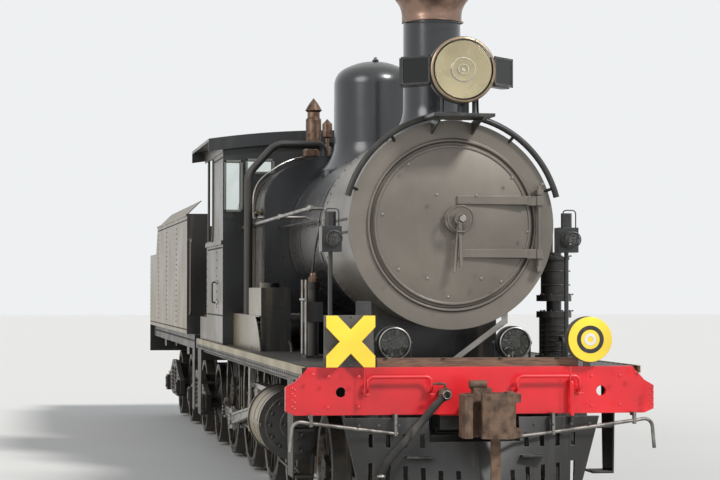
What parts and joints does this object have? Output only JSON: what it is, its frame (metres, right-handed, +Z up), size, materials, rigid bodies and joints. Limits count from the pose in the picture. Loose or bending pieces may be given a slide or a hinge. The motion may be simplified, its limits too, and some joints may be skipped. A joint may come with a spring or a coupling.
{
  "type": "steam locomotive with tender",
  "caption": "Outside-cylinder steam locomotive with tender on working bogies, coupled driving wheels, rods, hinged smokebox door and knuckle couplers",
  "frame": {"origin": "centre of the bounding box's base, on the plane of the flange tips", "axes": "+X to the engine's left side, +Y to the rear, +Z up; the front faces -Y"},
  "size_m": [2.7, 16.47, 4.1182],
  "materials": {
    "black_paint": "satin black engine paint",
    "boiler_black": "gloss black cladding paint",
    "beam_red": "weathered red paint",
    "pilot_grey": "worn dark grey paint",
    "rod_steel": "bright machined steel",
    "wheel_black": "black centre with worn tread",
    "coupler_rust": "rusty cast steel",
    "copper": "tarnished copper",
    "brass": "tarnished brass",
    "plank_wood": "weathered hardwood",
    "yellow_paint": "yellow and dark grey paint",
    "window_glass": "clear glass",
    "hose_rubber": "matt black rubber"
  },
  "bodies": {
    "engine": {"frame": "black_paint", "board_brackets": "black_paint", "axleboxes": "black_paint", "buffer_beam": "beam_red", "running_boards": "black_paint", "deck_plank": "plank_wood", "pilot": "pilot_grey", "front_coupler": "coupler_rust", "smokebox": "black_paint", "boiler_barrel": "boiler_black", "firebox": "boiler_black", "chimney": "black_paint", "chimney_cap": "copper", "dome": "boiler_black", "safety_valves": "copper", "headlight": "black_paint", "marker_lamps": "black_paint", "deck_lamps": "black_paint", "signal_plates": "yellow_paint", "handrails": "black_paint", "cylinders": "black_paint", "slide_bars": "rod_steel", "splashers": "black_paint", "air_pump": "black_paint", "lubricator": "black_paint", "boiler_pipes": "black_paint", "cab_body": "black_paint", "cab_roof": "black_paint", "cab_windows": "window_glass", "backhead_fittings": "brass", "brake_gear": "black_paint", "uncoupling_gear": "black_paint", "brake_hose": "hose_rubber"},
    "smokebox_door": {"smokebox_door": "black_paint"},
    "firehole_door": {"firehole_door": "black_paint"},
    "front_knuckle": {"front_knuckle": "coupler_rust"},
    "rear_knuckle": {"rear_knuckle": "coupler_rust"},
    "bogie": {"bogie_frame": "black_paint"},
    "bogie_front_axle": {"bogie_front_wheels": "wheel_black"},
    "bogie_rear_axle": {"bogie_rear_wheels": "wheel_black"},
    "leading_axle": {"leading_driving_wheels": "wheel_black"},
    "main_axle": {"main_driving_wheels": "wheel_black"},
    "trailing_axle": {"trailing_driving_wheels": "wheel_black"},
    "coupling_rod_right": {"coupling_rod_right": "rod_steel"},
    "coupling_rod_left": {"coupling_rod_left": "rod_steel"},
    "crosshead_right": {"crosshead_right": "rod_steel"},
    "crosshead_left": {"crosshead_left": "rod_steel"},
    "connecting_rod_right": {"connecting_rod_right": "rod_steel"},
    "connecting_rod_left": {"connecting_rod_left": "rod_steel"},
    "tender": {"tender_frame": "black_paint", "drawbar": "black_paint", "tender_tank": "black_paint", "rear_coupler": "coupler_rust"},
    "filler_lid": {"filler_lid": "black_paint"},
    "tender_bogie_1": {"tender_bogie_1": "black_paint"},
    "tender_bogie_2": {"tender_bogie_2": "black_paint"},
    "tender_axle_1": {"tender_wheels_1": "wheel_black"},
    "tender_axle_2": {"tender_wheels_2": "wheel_black"},
    "tender_axle_3": {"tender_wheels_3": "wheel_black"},
    "tender_axle_4": {"tender_wheels_4": "wheel_black"}
  },
  "joints": [
    {"name": "bogie_pivot", "type": "hinge", "parent": "engine", "child": "bogie", "pos_m": [0, -5.615, 0.628], "axis": [0, 0, 1], "range_deg": [-3, 3]},
    {"name": "bogie_front_axle_spin", "type": "hinge", "parent": "bogie", "child": "bogie_front_axle", "pos_m": [0, -6.565, 0.447], "axis": [1, 0, 0], "continuous": true},
    {"name": "bogie_rear_axle_spin", "type": "hinge", "parent": "bogie", "child": "bogie_rear_axle", "pos_m": [0, -4.665, 0.447], "axis": [1, 0, 0], "continuous": true},
    {"name": "main_axle_spin", "type": "hinge", "parent": "engine", "child": "main_axle", "pos_m": [0, -1.655, 0.714], "axis": [1, 0, 0], "continuous": true},
    {"name": "leading_axle_spin", "type": "hinge", "parent": "engine", "child": "leading_axle", "pos_m": [0, -3.335, 0.714], "axis": [1, 0, 0], "continuous": true},
    {"name": "trailing_axle_spin", "type": "hinge", "parent": "engine", "child": "trailing_axle", "pos_m": [0, 0.025, 0.714], "axis": [1, 0, 0], "continuous": true},
    {"name": "coupling_rod_right_pin", "type": "hinge", "parent": "main_axle", "child": "coupling_rod_right", "pos_m": [-0.95, -1.4393, 0.4983], "axis": [1, 0, 0], "continuous": true},
    {"name": "crosshead_right_slide", "type": "slide", "parent": "engine", "child": "crosshead_right", "axis": [0, 1, 0], "range_m": [-0.5333, 0.0762]},
    {"name": "connecting_rod_right_pin", "type": "hinge", "parent": "crosshead_right", "child": "connecting_rod_right", "pos_m": [-1.055, -3.8565, 0.748], "axis": [1, 0, 0], "range_deg": [-2.1, 12.2]},
    {"name": "coupling_rod_left_pin", "type": "hinge", "parent": "main_axle", "child": "coupling_rod_left", "pos_m": [0.95, -1.8707, 0.4983], "axis": [1, 0, 0], "continuous": true},
    {"name": "crosshead_left_slide", "type": "slide", "parent": "engine", "child": "crosshead_left", "axis": [0, 1, 0], "range_m": [-0.102, 0.5075]},
    {"name": "connecting_rod_left_pin", "type": "hinge", "parent": "crosshead_left", "child": "connecting_rod_left", "pos_m": [1.055, -4.2878, 0.748], "axis": [1, 0, 0], "range_deg": [-2.1, 12.2]},
    {"name": "smokebox_door_hinge", "type": "hinge", "parent": "engine", "child": "smokebox_door", "pos_m": [0.662, -7.057, 2.295], "axis": [0, 0, 1], "range_deg": [0, 110]},
    {"name": "firehole_door_hinge", "type": "hinge", "parent": "engine", "child": "firehole_door", "pos_m": [-0.275, -0.71, 1.928], "axis": [0, 0, 1], "range_deg": [0, 100]},
    {"name": "front_knuckle_pin", "type": "hinge", "parent": "engine", "child": "front_knuckle", "pos_m": [0.165, -8.06, 0.933], "axis": [0, 0, 1], "range_deg": [0, 40]},
    {"name": "tender_drawbar_pin", "type": "hinge", "parent": "engine", "child": "tender", "pos_m": [0, 0.615, 1.068], "axis": [0, 0, 1], "range_deg": [-6, 6]},
    {"name": "rear_knuckle_pin", "type": "hinge", "parent": "tender", "child": "rear_knuckle", "pos_m": [-0.165, 8.06, 0.933], "axis": [0, 0, 1], "range_deg": [0, 40]},
    {"name": "filler_lid_hinge", "type": "hinge", "parent": "tender", "child": "filler_lid", "pos_m": [0, 6.85, 2.438], "axis": [1, 0, 0], "range_deg": [0, 100]},
    {"name": "tender_bogie_1_pivot", "type": "hinge", "parent": "tender", "child": "tender_bogie_1", "pos_m": [0, 2.515, 0.923], "axis": [0, 0, 1], "range_deg": [-5, 5]},
    {"name": "tender_bogie_2_pivot", "type": "hinge", "parent": "tender", "child": "tender_bogie_2", "pos_m": [0, 6.215, 0.923], "axis": [0, 0, 1], "range_deg": [-5, 5]},
    {"name": "tender_axle_1_spin", "type": "hinge", "parent": "tender_bogie_1", "child": "tender_axle_1", "pos_m": [0, 1.64, 0.485], "axis": [1, 0, 0], "continuous": true},
    {"name": "tender_axle_2_spin", "type": "hinge", "parent": "tender_bogie_1", "child": "tender_axle_2", "pos_m": [0, 3.39, 0.485], "axis": [1, 0, 0], "continuous": true},
    {"name": "tender_axle_3_spin", "type": "hinge", "parent": "tender_bogie_2", "child": "tender_axle_3", "pos_m": [0, 5.34, 0.485], "axis": [1, 0, 0], "continuous": true},
    {"name": "tender_axle_4_spin", "type": "hinge", "parent": "tender_bogie_2", "child": "tender_axle_4", "pos_m": [0, 7.09, 0.485], "axis": [1, 0, 0], "continuous": true}
  ],
  "couplings": [
    {"joint": "leading_axle_spin", "follows": "main_axle_spin", "ratio": 1},
    {"joint": "trailing_axle_spin", "follows": "main_axle_spin", "ratio": 1},
    {"joint": "coupling_rod_right_pin", "follows": "main_axle_spin", "ratio": -1},
    {"joint": "coupling_rod_left_pin", "follows": "main_axle_spin", "ratio": -1}
  ]
}
